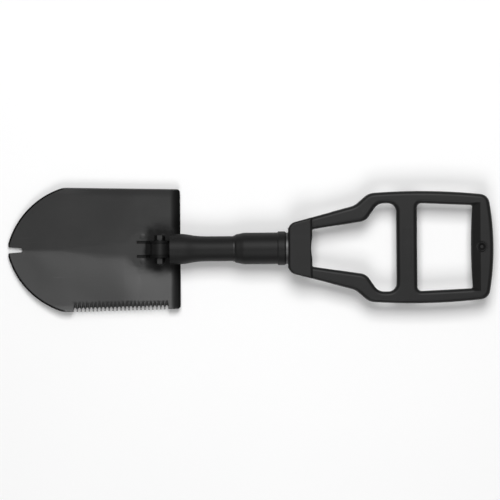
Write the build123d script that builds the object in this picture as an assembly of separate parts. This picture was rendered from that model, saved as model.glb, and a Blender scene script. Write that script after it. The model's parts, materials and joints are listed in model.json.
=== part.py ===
from build123d import *
import math
import os

# A camp shovel that folds in three: a pressed steel blade, a tube neck with a tie rod inside,
# and a moulded grip. The collar on the neck is turned to clamp or free both folds.
#
# Millimetres. X runs along the shovel, from the blade's tip (-X) to the grip's end (+X). Y runs
# across it, with the saw edge on -Y. Z is up, out of the blade's hollow face. The model is drawn
# about the neck's axis and lifted at the end, so that the lowest faces stand on z = 0.

# ---- driving dimensions: overall
LENGTH = 603.0  # open, tip to grip end; the neck takes up what blade and grip leave
RUNNING_GAP = 0.05  # radial clearance of a running fit
FACE_GAP = 0.1  # between faces that turn on each other

# ---- driving dimensions: blade
BLADE_LENGTH = 214.7
BLADE_WIDTH = 155.0  # where the nose meets the sides, before that corner is rounded
SIDE_TAPER = 3.1  # each side draws in by this towards the rear
SHEET = 2.0  # steel thickness
FACE_UNDER_TUBE = 1.2  # the face, along its middle, passes this far under the tube's flare
DISH_RISE = 7.0  # face rises this much from the middle to the lip's fold
LIP_WIDTH = 7.5  # the edge turns up more steeply over this width
LIP_SLOPE = 0.2
LIP_FOLD_RADIUS = 30.0
FLANK_FOLD_RADIUS = 60.0
NOSE_LENGTH = 69.6
NOSE_BULGE = 12.55  # each side of the nose bows out this far from its chord
TIP_HALF_WIDTH = 8.1
TIP_ROUND = 1.4
SHOULDER_RADIUS = 30.0
REAR_CORNER_RADIUS = 4.0
NOTCH_DEPTH = 17.5
NOTCH_MOUTH = 7.4
NOTCH_END_WIDTH = 5.1
TREAD_ANGLE = 45.0  # the rear edge is rolled back through this
TREAD_INNER_RADIUS = 10.0
SAW_TEETH = 24
SAW_PITCH = 4.95
SAW_DEPTH = 4.4
SAW_START = 81.0  # first gullet's edge, behind the tip
GULLET_RADIUS = 2.2
GRIND_ANGLE = 22.0  # gullets are ground at this angle to the lip
CREASE_AT_TIP = 0.7  # half-width of the face's flat middle
CREASE_AT_SHOULDER = 1.2
CREASE_AHEAD_OF_HINGE = [(74.3, 8.0), (45.0, 9.5)]  # distance ahead of the pin, half-width
CREASE_HINGE_START = 27.0  # full width from here back
CREASE_HINGE_MARGIN = 6.0  # wider than the hinge bracket by this, each side

# ---- driving dimensions: blade hinge
BLADE_PIN_INSET = 24.9  # pin ahead of the blade's rear edge
BLADE_PIN_HEIGHT = 5.0  # above the neck axis
EAR_THICKNESS = 3.0
EAR_INSIDE = 7.35  # half the gap between the ears
EAR_RADIUS = 11.9
EAR_SLOT_CLEARANCE = 0.25
EAR_FRONT = 18.0  # ear's toe, ahead of the pin
EAR_REAR = 9.9
EAR_TOE_HEIGHT = 8.0  # above the face
EAR_TOE_SLOPE = 3.0
SLOT_FRONT = 29.8  # slots in the blade run on ahead of the ears
BRACKET_THICKNESS = 3.0
BRACKET_FRONT = 33.0
BRACKET_REAR = 13.0
BRACKET_CORNER_RADIUS = 5.0
RIVET_RADIUS = 2.5
RIVET_HEAD_RADIUS = 4.0
RIVET_HEAD_HEIGHT = 0.8
RIVET_SINK = 1.8  # depth of the countersunk foot
RIVET_FROM_EAR = 5.15
RIVET_TO_EDGE = 5.5
RIVET_OFFSETS = [-22.0, 3.0]  # from the pin, along X
BOLT_RADIUS = 4.0
BOLT_HEAD_FLATS = 12.0
BOLT_HEAD_HEIGHT = 5.5
BOLT_END_CHAMFER = 0.8
HEX_CORNER = 0.7  # a hexagon's corners are turned down to this beyond its flats
NUT_HEIGHT = 6.5
BOLT_END = 2.0  # thread that shows beyond the nut
WASHER_THICKNESS = 1.2
WASHER_RADIUS = 7.5
TONGUE_RADIUS = 11.0
TONGUE_TOE = 18.0
TONGUE_TOE_LIFT = 9.0  # toe's underside above the face
TONGUE_TOE_DROP = 7.0  # toe's top below the pin
TONGUE_BROW_DROP = 2.0
TONGUE_FACE_GAP = 2.1
TONGUE_SLOPE = 1.0
TONGUE_NECK_TOP = 8.0  # above and below the neck axis, where it meets the boss
TONGUE_NECK_BOTTOM = 11.0
TONGUE_SIDE_GAP = 0.35
BOSS_RADIUS = 13.0
BOSS_LENGTH = 17.0
BOSS_FRONT_WALL = 2.0
CROSS_PIN_RADIUS = 2.0
CROSS_PIN_CHAMFER = 0.5
CROSS_PIN_SHORT = 0.7  # each end stops this far inside the piece it holds
CROSS_PIN_FROM_END = 5.0
BUSH_WALL = 1.8

# ---- driving dimensions: neck, rod and collar
TUBE_RADIUS = 15.5
TUBE_WALL = 1.5
TUBE_FRONT_GAP = 12.4  # tube's front end behind the blade pin
TUBE_TRAVEL = 6.0  # how far the tube draws back as the collar is unscrewed
TUBE_END_GAP = 0.9  # left at the end of that travel
FLARE_STEP = 3.3  # the front end is this much larger in radius
FLARE_LENGTH = 13.0
FLARE_TAPER = 36.0
ROD_RADIUS = 5.0
GUIDE_LENGTH = 10.0
GUIDE_INSET_FRONT = 1.5
GUIDE_INSET_REAR = 2.0
SLEEVE_WALL = 1.1
SLEEVE_LENGTH = 36.0
INSERT_WALL = 1.2
INSERT_INSET = 2.0  # insert starts this far behind the sleeve's front end
COLLAR_LENGTH = 63.6
COLLAR_WALL = 1.5  # over the insert
COLLAR_FREE_GAP = 0.3
COLLAR_LIP_WALL = 0.8
COLLAR_LIP_TAPER = 13.0
COLLAR_LIP_BULGE = 1.3
COLLAR_RELIEF = 3.0  # cavity runs on ahead of the sleeve
COLLAR_WEB = 3.4
COLLAR_EDGE_ROUND = 2.2
FLANGE_STEP = 1.35  # proud of the collar's body
FLANGE_LENGTH = 10.5
FLANGE_BEVEL = 1.0
WIPER_WALL = 0.65
WIPER_LENGTH = 1.6
THRUST_WASHER_STEP = 1.65  # inside the flange's radius
THRUST_WASHER_LENGTH = 2.6
SHANK_RADIUS = 9.5
KNUCKLE_SOCKET = 5.4  # how far the rod enters the rear knuckle
KNUCKLE_PIN_INSET = 2.6

# ---- driving dimensions: grip
GRIP_LENGTH = 254.2
GRIP_WIDTH = 138.7
GRIP_PIN_DROP = 13.0  # handle pin below the neck axis
BARREL_INSET = 2.9  # hinge barrel behind the hub's front face
GRIP_PIN_RADIUS = 4.0
HUB_LENGTH = 29.7
HUB_TOP = 17.0  # above the neck axis
HUB_FRONT_HALF_WIDTH = 30.1
HUB_CORNER_RADIUS = 11.0
HUB_TOP_ROUND = 3.0
HUB_UNDERCUT = 2.5  # front face stops this far above the pin
HUB_OVERLAP = 4.0  # barrel web runs this far up into the head
HUB_REAR_INSET = 0.5
BITE_DEPTH = 1.4  # hollow in the middle of the hub's rear edge
BITE_HALF_WIDTH = 13.0
BARREL_HALF_WIDTH = 25.0
HUB_BUSH_WALL = 1.5
PIN_CAP_RADIUS = 7.0
PIN_CAP_LENGTH = 3.0
PIN_CAP_PROUD = 0.8
PIN_CAP_ROUND = 0.7
KNUCKLE_HALF_WIDTH = 7.0
KNUCKLE_GAP = 0.6  # round the lug, inside the barrel's slot
KNUCKLE_TOP = 8.0
KNUCKLE_STEP_BACK = 4.0  # the lug's top edge runs back this far into the hub
SLOT_SIDE_GAP = 0.3
SLOT_TOP_GAP = 1.0
SLOT_BEHIND_PIN = 8.0
FRAME_BOTTOM = -2.0
FRAME_TOP = 11.0
FRAME_ROUND = 5.0
WAIST_AHEAD = 51.4  # where the cheeks start to spread, ahead of the cross bar
WAIST_HALF_WIDTH = 52.1
SHOULDER_AHEAD = 34.2
SHOULDER_INSET = 2.3  # inside the widest place
CHEEK_RADIUS = 20.0
WIDEST_BACK = 23.0  # widest place, behind the cross bar's front edge
END_BULGE = 6.2
END_CORNER_INSET = 5.3
END_CORNER_RADIUS = 12.5
GRIP_RAIL = 14.6  # a rail's width
CROSSBAR_BACK = 120.0  # cross bar's front edge, ahead of the grip's end
CROSSBAR_WIDTH = 25.4
FORK_START_HALF_WIDTH = 23.05
FORK_NECK_AHEAD = 38.0  # ahead of the cross bar
FORK_NECK_HALF_WIDTH = 33.1
FORK_FLARE_AHEAD = 23.0
FORK_RADII = (2.5, 15.0, 14.0, 10.5)  # at hub, neck, flare and cross bar
HAND_FRONT_RADIUS = 5.5
HAND_REAR_RADIUS = 2.5
HAND_TAPER = 3.1
HAND_BOW = 2.0
END_BAR = 27.6
RECESS_LENGTH = 45.0
RECESS_WIDTH = 11.0
RECESS_DEPTH = 0.9
DIMPLE_RADIUS = 6.8
DIMPLE_RING = 1.2
DIMPLE_DEPTH = 1.6
DIMPLE_CUP_SLOPE = 1.4
DIMPLE_FROM_END = 14.5
FACET_DEPTH = 5.0
FACET_FOOT = 1.6
FACET_RIDGE = 1.7  # ridge stands this far ahead of the dimple's middle

# ---- radii that follow from them
FLARE_RADIUS = TUBE_RADIUS + FLARE_STEP
SLEEVE_RADIUS = TUBE_RADIUS + SLEEVE_WALL
CAVITY_RADIUS = SLEEVE_RADIUS + COLLAR_FREE_GAP
INSERT_RADIUS = CAVITY_RADIUS + INSERT_WALL
COLLAR_RADIUS = INSERT_RADIUS + COLLAR_WALL
COLLAR_BORE = TUBE_RADIUS + COLLAR_FREE_GAP
FLANGE_RADIUS = COLLAR_RADIUS + FLANGE_STEP
SHANK_BORE = SHANK_RADIUS + COLLAR_FREE_GAP
TONGUE_BUSH_RADIUS = BOLT_RADIUS + BUSH_WALL
KNUCKLE_BUSH_RADIUS = GRIP_PIN_RADIUS + BUSH_WALL
HUB_BUSH_RADIUS = GRIP_PIN_RADIUS + HUB_BUSH_WALL

# ---- heights
FACE_DEPTH = FLARE_RADIUS + FACE_UNDER_TUBE
FACE_Z = -FACE_DEPTH
UNDER_Z = FACE_Z - SHEET
BRACKET_Z = UNDER_Z - BRACKET_THICKNESS
AXIS_HEIGHT = -BRACKET_Z  # the bracket's underside stands on the floor
GRIP_PIN_Z = -GRIP_PIN_DROP
BARREL_RADIUS = AXIS_HEIGHT - GRIP_PIN_DROP  # so does the hinge barrel under the hub
KNUCKLE_RADIUS = BARREL_RADIUS - KNUCKLE_GAP

# ---- places along X, from the tip back to the blade hinge
TIP_X = -LENGTH / 2
NOSE_END_X = TIP_X + NOSE_LENGTH
BLADE_REAR_X = TIP_X + BLADE_LENGTH
BLADE_PIN_X = BLADE_REAR_X - BLADE_PIN_INSET
TREAD_OUTER_RADIUS = TREAD_INNER_RADIUS + SHEET
TREAD_X = BLADE_REAR_X - TREAD_OUTER_RADIUS * math.sin(math.radians(TREAD_ANGLE))
TUBE_FRONT_X = BLADE_PIN_X + TUBE_FRONT_GAP
BOSS_REAR_X = TUBE_FRONT_X + BOSS_LENGTH
TONGUE_PIN_X = BOSS_REAR_X - CROSS_PIN_FROM_END

# ---- and from the grip's end forward to the tube's rear end
END_X = LENGTH / 2
CROSSBAR_X = END_X - CROSSBAR_BACK
HUB_X = END_X - GRIP_LENGTH
HUB_REAR_X = HUB_X + HUB_LENGTH
GRIP_PIN_X = HUB_X + BARREL_INSET + BARREL_RADIUS
WASHER_REAR_X = HUB_X - FACE_GAP
COLLAR_REAR_X = WASHER_REAR_X - THRUST_WASHER_LENGTH
COLLAR_X = COLLAR_REAR_X - COLLAR_LENGTH
WEB_X = COLLAR_REAR_X - COLLAR_WEB
KNUCKLE_FRONT_X = WEB_X - COLLAR_FREE_GAP
KNUCKLE_PIN_X = KNUCKLE_FRONT_X + KNUCKLE_PIN_INSET
TUBE_REAR_X = KNUCKLE_FRONT_X - TUBE_END_GAP - TUBE_TRAVEL
SLEEVE_X = TUBE_REAR_X - SLEEVE_LENGTH

# ---- half-widths
LIP_FOLD_Y = BLADE_WIDTH / 2 - LIP_WIDTH
EAR_OUTSIDE = EAR_INSIDE + EAR_THICKNESS
TONGUE_HALF = EAR_INSIDE - TONGUE_SIDE_GAP
RIVET_ACROSS = EAR_OUTSIDE + RIVET_FROM_EAR
BRACKET_HALF_WIDTH = RIVET_ACROSS + RIVET_TO_EDGE
SLOT_HALF = KNUCKLE_HALF_WIDTH + SLOT_SIDE_GAP
CAP_SEAT = BARREL_HALF_WIDTH - PIN_CAP_LENGTH
GRIP_HALF_WIDTH = GRIP_WIDTH / 2

FAR = 80.0  # past anything that is being cut


# ---- shapes used more than once
def lathe(profile):
    """A solid of revolution about X, from (x, radius) corners."""
    outline = make_face(Polyline(*profile, close=True).edges())
    return revolve(Plane.XZ * outline, axis=Axis.X)


def ring(x_from, x_to, inner, outer):
    """A plain ring or bush about X."""
    return lathe([(x_from, inner), (x_to, inner), (x_to, outer), (x_from, outer)])


def cross_cylinder(x, z, radius, y_from, y_to):
    """A cylinder that runs across the shovel, along Y."""
    return Pos(x, (y_from + y_to) / 2, z) * Rot(90, 0, 0) * Cylinder(radius, y_to - y_from)


def cross_ring(x, z, inner, outer, y_from, y_to):
    """A washer or bush that runs across the shovel."""
    return cross_cylinder(x, z, outer, y_from, y_to) - cross_cylinder(x, z, inner, y_from, y_to)


def cross_plate(side_view, y_from, y_to):
    """A plate that stands in the XZ plane, from a face drawn there, between two places in Y."""
    return Pos(0, y_from, 0) * extrude(Plane.XZ * side_view, amount=y_from - y_to)


def block(x_from, x_to, y_from, y_to, z_from, z_to):
    """A box between two corners."""
    size = (x_to - x_from, y_to - y_from, z_to - z_from)
    middle = ((x_from + x_to) / 2, (y_from + y_to) / 2, (z_from + z_to) / 2)
    return Pos(*middle) * Box(*size)


def both_sides(make):
    """The same solid at +Y and mirrored to -Y."""
    one = make()
    return [one, mirror(one, about=Plane.XZ)]


def write(name, *solids):
    """Lift the solids onto the floor and write them as one node."""
    lifted = [Pos(0, 0, AXIS_HEIGHT) * solid for shape in solids for solid in shape.solids()]
    export_step(lifted[0] if len(lifted) == 1 else Compound(children=lifted), f"parts/{name}.step")


# ---- blade
def blade_section(half_flat):
    """Closed cross-section of the sheet: flat middle, two flanks, two lips. Local x is Y."""
    reach = LIP_FOLD_Y + 1.5 * LIP_WIDTH
    lip_top = FACE_Z + DISH_RISE
    edge_top = lip_top + LIP_SLOPE * (reach - LIP_FOLD_Y)
    flank_slope = math.atan2(DISH_RISE, LIP_FOLD_Y - half_flat)
    fold = min(FLANK_FOLD_RADIUS, 0.7 * half_flat / math.tan(flank_slope / 2))
    half = [(half_flat, FACE_Z), (LIP_FOLD_Y, lip_top), (reach, edge_top)]
    top = [(-y, z) for y, z in reversed(half)] + half
    line = FilletPolyline(*top, radius=[LIP_FOLD_RADIUS, fold, fold, LIP_FOLD_RADIUS])
    under = Pos(0, -SHEET, 0) * line
    ends = [Line((side * reach, edge_top), (side * reach, edge_top - SHEET)) for side in (-1, 1)]
    return make_face(line.edges() + under.edges() + ends)


def across_at(x):
    """The plane across the shovel at x, with local x along Y and local y along Z."""
    return Plane(origin=(x, 0, 0), x_dir=(0, 1, 0), z_dir=(1, 0, 0))


def pressed_sheet():
    """The dished sheet before it is trimmed to its outline."""
    hinge_flat = BRACKET_HALF_WIDTH + CREASE_HINGE_MARGIN
    stations = [(TIP_X - 2, CREASE_AT_TIP), (NOSE_END_X, CREASE_AT_SHOULDER)]
    stations += [(BLADE_PIN_X - ahead, wide) for ahead, wide in CREASE_AHEAD_OF_HINGE]
    stations += [(BLADE_PIN_X - CREASE_HINGE_START, hinge_flat), (TREAD_X, hinge_flat)]
    faces = [across_at(x) * blade_section(wide) for x, wide in stations]
    sheet = loft(faces, ruled=True)
    roll_axis = Axis((TREAD_X, 0, UNDER_Z - TREAD_INNER_RADIUS), (0, 1, 0))
    tread = revolve(faces[-1], axis=roll_axis, revolution_arc=TREAD_ANGLE)
    return sheet + tread


def side_half_width(x):
    """Half-width of the tapering sides at x."""
    taper = SIDE_TAPER / (BLADE_REAR_X - NOSE_END_X)
    return BLADE_WIDTH / 2 - taper * (x - NOSE_END_X)


def corners_at(plan, x, half_width=None):
    """The corners of a plan face at one place along X, and at +-Y there if that is given."""
    found = plan.vertices().filter_by_position(Axis.X, x - 0.1, x + 0.1)
    if half_width is None:
        return found
    return [v for v in found if abs(abs(v.Y) - half_width) < 0.1]


def blade_outline():
    """The plan outline: pointed nose, tapering sides, notched tip."""
    tip = (TIP_X, TIP_HALF_WIDTH)
    shoulder = (NOSE_END_X, BLADE_WIDTH / 2)
    rear = (BLADE_REAR_X, side_half_width(BLADE_REAR_X))
    upper = [SagittaArc(tip, shoulder, NOSE_BULGE), Line(shoulder, rear)]
    lower = [mirror(edge, about=Plane.XZ) for edge in upper]
    closing = [Line(rear, (rear[0], -rear[1])), Line((tip[0], -tip[1]), tip)]
    plan = make_face(upper + lower + closing)
    plan = fillet(corners_at(plan, NOSE_END_X), SHOULDER_RADIUS)
    plan = fillet(corners_at(plan, BLADE_REAR_X), REAR_CORNER_RADIUS)
    end_radius = NOTCH_END_WIDTH / 2
    end_x = TIP_X + NOTCH_DEPTH - end_radius
    mouth = NOTCH_MOUTH / 2
    corners = [(TIP_X, mouth), (end_x, end_radius), (end_x, -end_radius), (TIP_X, -mouth)]
    plan = plan - make_face(Polyline(*corners, close=True).edges())
    plan = plan - Pos(end_x, 0) * Circle(end_radius)
    return fillet(corners_at(plan, TIP_X), TIP_ROUND)


def gullet(x):
    """One saw gullet: a tilted cylinder that grinds a hollow into the lip as well."""
    edge_y = side_half_width(x)
    under_z = FACE_Z + DISH_RISE + LIP_SLOPE * (edge_y - LIP_FOLD_Y) - SHEET
    ellipse_reach = GULLET_RADIUS / math.sin(math.radians(GRIND_ANGLE))
    centre_y = -(edge_y - SAW_DEPTH + ellipse_reach)
    lift = GRIND_ANGLE - math.degrees(math.atan(LIP_SLOPE))
    return Pos(x, centre_y, under_z) * Rot(lift - 90, 0, 0) * Cylinder(GULLET_RADIUS, FAR)


def rivet_places():
    """The four rivets of the hinge bracket, as (x, y)."""
    return [(BLADE_PIN_X + dx, side * RIVET_ACROSS) for dx in RIVET_OFFSETS for side in (-1, 1)]


def ear_slots():
    """The two slots that the ears stand up through."""
    y_from = EAR_INSIDE - EAR_SLOT_CLEARANCE
    y_to = EAR_OUTSIDE + EAR_SLOT_CLEARANCE
    x_from = BLADE_PIN_X - SLOT_FRONT
    x_to = BLADE_PIN_X + EAR_REAR + EAR_SLOT_CLEARANCE
    return both_sides(lambda: block(x_from, x_to, y_from, y_to, UNDER_Z - 1, FACE_Z + 1))


def make_blade():
    sheet = pressed_sheet() & extrude(blade_outline(), amount=FAR, both=True)
    cutters = [gullet(TIP_X + SAW_START + SAW_PITCH * (i + 0.5)) for i in range(SAW_TEETH)]
    cutters += ear_slots()
    cutters += [Pos(x, y, FACE_Z) * Cylinder(RIVET_RADIUS, 4 * SHEET) for x, y in rivet_places()]
    return sheet - cutters


def side_point(x, z):
    """A point given from the blade pin, in the side view."""
    return (BLADE_PIN_X + x, BLADE_PIN_HEIGHT + z)


def make_ear():
    """One ear's side view: round about the pin, with a low toe in front."""
    foot = UNDER_Z - BLADE_PIN_HEIGHT - BRACKET_THICKNESS / 2
    toe_top = FACE_Z - BLADE_PIN_HEIGHT + EAR_TOE_HEIGHT
    head = Pos(*side_point(0, 0)) * Circle(EAR_RADIUS)
    corners = [
        (-EAR_RADIUS, 0),
        (-EAR_RADIUS, toe_top + EAR_TOE_SLOPE),
        (-EAR_FRONT, toe_top),
        (-EAR_FRONT, foot),
        (EAR_REAR, foot),
        (EAR_REAR, 0),
    ]
    leg = make_face(Polyline(*(side_point(*c) for c in corners), close=True).edges())
    return cross_plate(head + leg, EAR_INSIDE, EAR_OUTSIDE)


def rivet_foot(x, y):
    """The rivet's countersunk foot, which fills its sink in the bracket."""
    return Pos(x, y, BRACKET_Z + RIVET_SINK / 2) * Cone(RIVET_HEAD_RADIUS, RIVET_RADIUS, RIVET_SINK)


def make_bracket():
    """Base plate under the blade, with two ears bent up from it."""
    x_from = BLADE_PIN_X - BRACKET_FRONT
    x_to = BLADE_PIN_X + BRACKET_REAR
    base = block(x_from, x_to, -BRACKET_HALF_WIDTH, BRACKET_HALF_WIDTH, BRACKET_Z, UNDER_Z)
    base = fillet(base.edges().filter_by(Axis.Z), BRACKET_CORNER_RADIUS)
    bracket = base + both_sides(make_ear)
    holes = [cross_cylinder(BLADE_PIN_X, BLADE_PIN_HEIGHT, BOLT_RADIUS + RUNNING_GAP, -FAR, FAR)]
    for x, y in rivet_places():
        holes.append(Pos(x, y, BRACKET_Z) * Cylinder(RIVET_RADIUS, 4 * BRACKET_THICKNESS))
        holes.append(rivet_foot(x, y))
    return bracket - holes


def make_rivet(x, y):
    """A rivet: flush countersunk below, low round head above."""
    top = FACE_Z + RIVET_HEAD_HEIGHT / 2
    shank = Pos(x, y, (BRACKET_Z + top) / 2) * Cylinder(RIVET_RADIUS, top - BRACKET_Z)
    ball_radius = (RIVET_HEAD_RADIUS**2 + RIVET_HEAD_HEIGHT**2) / (2 * RIVET_HEAD_HEIGHT)
    ball = Pos(x, y, FACE_Z + RIVET_HEAD_HEIGHT - ball_radius) * Sphere(ball_radius)
    above = Pos(x, y, FACE_Z + RIVET_HEAD_HEIGHT) * Cylinder(RIVET_HEAD_RADIUS + 1, 2 * RIVET_HEAD_HEIGHT)
    return shank + rivet_foot(x, y) + (ball & above)


def hexagon_across(x, z, flats, y_from, y_to):
    """A hexagon bar across the shovel, for a bolt head or a nut."""
    shape = RegularPolygon(flats / math.sqrt(3), 6)
    bar = cross_plate(Pos(x, z) * shape, y_from, y_to)
    cap = cross_cylinder(x, z, flats / 2 + HEX_CORNER, y_from, y_to)
    return bar & cap


def make_bolt():
    seat = EAR_OUTSIDE + WASHER_THICKNESS
    end = -(seat + NUT_HEIGHT + BOLT_END)
    shank = cross_cylinder(BLADE_PIN_X, BLADE_PIN_HEIGHT, BOLT_RADIUS, end, seat)
    shank = chamfer(shank.edges().group_by(Axis.Y)[0], BOLT_END_CHAMFER)
    top = seat + BOLT_HEAD_HEIGHT
    head = hexagon_across(BLADE_PIN_X, BLADE_PIN_HEIGHT, BOLT_HEAD_FLATS, seat, top)
    return shank + head


def make_nut():
    seat = EAR_OUTSIDE + WASHER_THICKNESS
    nut = hexagon_across(BLADE_PIN_X, BLADE_PIN_HEIGHT, BOLT_HEAD_FLATS, -seat - NUT_HEIGHT, -seat)
    return nut - cross_cylinder(BLADE_PIN_X, BLADE_PIN_HEIGHT, BOLT_RADIUS + RUNNING_GAP, -FAR, 0)


def make_hinge_washers():
    inner = BOLT_RADIUS + RUNNING_GAP
    outer = EAR_OUTSIDE + WASHER_THICKNESS
    place = (BLADE_PIN_X, BLADE_PIN_HEIGHT, inner, WASHER_RADIUS, EAR_OUTSIDE, outer)
    return both_sides(lambda: cross_ring(*place))


# ---- rod and its two ends
def make_tongue():
    """Round boss on the rod, flattened to a tongue that fills the gap between the ears."""
    head = Pos(*side_point(0, 0)) * Circle(TONGUE_RADIUS)
    face = FACE_Z - BLADE_PIN_HEIGHT
    belly = face + TONGUE_FACE_GAP
    corners = [
        (0, TONGUE_RADIUS),
        (TUBE_FRONT_GAP, TONGUE_NECK_TOP - BLADE_PIN_HEIGHT),
        (TUBE_FRONT_GAP, -TONGUE_NECK_BOTTOM - BLADE_PIN_HEIGHT),
        (0, belly),
        (-TONGUE_RADIUS, belly + TONGUE_SLOPE),
        (-TONGUE_TOE, face + TONGUE_TOE_LIFT),
        (-TONGUE_TOE, -TONGUE_TOE_DROP),
        (-TONGUE_RADIUS, -TONGUE_BROW_DROP),
    ]
    flat = make_face(Polyline(*(side_point(*c) for c in corners), close=True).edges())
    tongue = cross_plate(head + flat, -TONGUE_HALF, TONGUE_HALF)
    tongue += ring(TUBE_FRONT_X, BOSS_REAR_X, 0, BOSS_RADIUS)
    tongue -= ring(TUBE_FRONT_X + BOSS_FRONT_WALL, BOSS_REAR_X + 1, 0, ROD_RADIUS)
    tongue -= cross_cylinder(BLADE_PIN_X, BLADE_PIN_HEIGHT, TONGUE_BUSH_RADIUS, -FAR, FAR)
    return tongue - cross_cylinder(TONGUE_PIN_X, 0, CROSS_PIN_RADIUS, -FAR, FAR)


def make_tie_rod():
    """The rod, with a cross hole near each end."""
    rod = ring(TUBE_FRONT_X + BOSS_FRONT_WALL, KNUCKLE_FRONT_X + KNUCKLE_SOCKET, 0, ROD_RADIUS)
    rod -= cross_cylinder(TONGUE_PIN_X, 0, CROSS_PIN_RADIUS, -FAR, FAR)
    return rod - cross_cylinder(KNUCKLE_PIN_X, 0, CROSS_PIN_RADIUS, -FAR, FAR)


def make_cross_pin(x, holder_radius):
    """A pin that fixes the rod in the boss or shank round it."""
    half = holder_radius - CROSS_PIN_SHORT
    pin = cross_cylinder(x, 0, CROSS_PIN_RADIUS, -half, half)
    return chamfer(pin.edges().filter_by(GeomType.CIRCLE), CROSS_PIN_CHAMFER)


def make_knuckle():
    """Shank on the rod's rear end, flattened to a lug that drops to the handle pin."""
    lug = Pos(GRIP_PIN_X, GRIP_PIN_Z) * Circle(KNUCKLE_RADIUS)
    step_z = KNUCKLE_TOP - (KNUCKLE_TOP - GRIP_PIN_Z) / 3
    corners = [
        (WASHER_REAR_X, KNUCKLE_TOP),
        (HUB_X + KNUCKLE_STEP_BACK, KNUCKLE_TOP),
        (GRIP_PIN_X + KNUCKLE_STEP_BACK / 2, step_z),
        (GRIP_PIN_X + 0.8 * KNUCKLE_RADIUS, GRIP_PIN_Z + 0.6 * KNUCKLE_RADIUS),
        (GRIP_PIN_X, GRIP_PIN_Z),
        (GRIP_PIN_X - 0.9 * KNUCKLE_RADIUS, GRIP_PIN_Z + 0.4 * KNUCKLE_RADIUS),
        (WASHER_REAR_X, -KNUCKLE_TOP),
    ]
    side = lug + make_face(Polyline(*corners, close=True).edges())
    knuckle = cross_plate(side, -KNUCKLE_HALF_WIDTH, KNUCKLE_HALF_WIDTH)
    knuckle += ring(KNUCKLE_FRONT_X, WASHER_REAR_X, 0, SHANK_RADIUS)
    knuckle -= ring(KNUCKLE_FRONT_X - 1, KNUCKLE_FRONT_X + KNUCKLE_SOCKET, 0, ROD_RADIUS)
    knuckle -= cross_cylinder(GRIP_PIN_X, GRIP_PIN_Z, KNUCKLE_BUSH_RADIUS, -FAR, FAR)
    return knuckle - cross_cylinder(KNUCKLE_PIN_X, 0, CROSS_PIN_RADIUS, -FAR, FAR)


# ---- neck tube
def tube_line(radius_at_flare, radius_at_neck):
    """One wall line of the tube, front to rear: flare, smooth taper, plain neck."""
    taper_x = TUBE_FRONT_X + FLARE_LENGTH
    neck_x = taper_x + FLARE_TAPER
    hold_x = taper_x + FLARE_TAPER / 3
    front = Line((TUBE_FRONT_X, radius_at_flare), (taper_x, radius_at_flare))
    hold = [(hold_x, radius_at_flare), (hold_x, radius_at_neck)]
    bend = Bezier((taper_x, radius_at_flare), *hold, (neck_x, radius_at_neck))
    rear = Line((neck_x, radius_at_neck), (TUBE_REAR_X, radius_at_neck))
    return [front, bend, rear]


def make_tube():
    """Swaged tube: wide over the front boss, tapering smoothly to the neck."""
    outer = tube_line(FLARE_RADIUS, TUBE_RADIUS)
    inner = tube_line(FLARE_RADIUS - TUBE_WALL, TUBE_RADIUS - TUBE_WALL)
    ends = [Line(outer[0] @ 0, inner[0] @ 0), Line(outer[2] @ 1, inner[2] @ 1)]
    return revolve(Plane.XZ * make_face(outer + inner + ends), axis=Axis.X)


def make_front_bush():
    start = TUBE_FRONT_X + GUIDE_INSET_FRONT
    return ring(start, start + GUIDE_LENGTH, BOSS_RADIUS + RUNNING_GAP, FLARE_RADIUS - TUBE_WALL)


def make_rear_bush():
    end = TUBE_REAR_X - GUIDE_INSET_REAR
    return ring(end - GUIDE_LENGTH, end, ROD_RADIUS + RUNNING_GAP, TUBE_RADIUS - TUBE_WALL)


def make_sleeve():
    """Threaded sleeve brazed on the tube's rear end."""
    return ring(SLEEVE_X, TUBE_REAR_X, TUBE_RADIUS, SLEEVE_RADIUS)


# ---- collar
def make_collar():
    """Turned collar: tapered lip, plain body, round-edged flange with a rear web."""
    lip = COLLAR_BORE + COLLAR_LIP_WALL
    taper_x = COLLAR_X + COLLAR_LIP_TAPER
    flange_x = COLLAR_REAR_X - FLANGE_LENGTH
    round_x = COLLAR_REAR_X - COLLAR_EDGE_ROUND
    cavity_x = SLEEVE_X - COLLAR_RELIEF
    bulge = (COLLAR_X + 0.4 * COLLAR_LIP_TAPER, COLLAR_RADIUS - COLLAR_LIP_BULGE)
    ends = [(COLLAR_X, lip), (taper_x, COLLAR_RADIUS)]
    taper = Spline(ends[0], bulge, ends[1], tangents=[(1, 0.9), (1, 0)])
    flange = Polyline(
        (taper_x, COLLAR_RADIUS),
        (flange_x, COLLAR_RADIUS),
        (flange_x + FLANGE_BEVEL, FLANGE_RADIUS),
        (round_x, FLANGE_RADIUS),
    )
    rear_corner = (COLLAR_REAR_X, FLANGE_RADIUS - COLLAR_EDGE_ROUND)
    rounding = RadiusArc((round_x, FLANGE_RADIUS), rear_corner, COLLAR_EDGE_ROUND)
    inside = Polyline(
        rear_corner,
        (COLLAR_REAR_X, SHANK_BORE),
        (WEB_X, SHANK_BORE),
        (WEB_X, INSERT_RADIUS),
        (cavity_x, INSERT_RADIUS),
        (cavity_x, COLLAR_BORE),
        (COLLAR_X, COLLAR_BORE),
        (COLLAR_X, lip),
    )
    outline = [edge for line in (taper, flange, rounding, inside) for edge in line.edges()]
    return revolve(Plane.XZ * make_face(outline), axis=Axis.X)


def make_insert():
    """Threaded ring pressed into the collar."""
    return ring(SLEEVE_X + INSERT_INSET, WEB_X, CAVITY_RADIUS, INSERT_RADIUS)


def make_wiper():
    """Thin bright ring at the collar's front lip."""
    inner = TUBE_RADIUS + RUNNING_GAP
    return ring(COLLAR_X - WIPER_LENGTH, COLLAR_X, inner, inner + WIPER_WALL)


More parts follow.
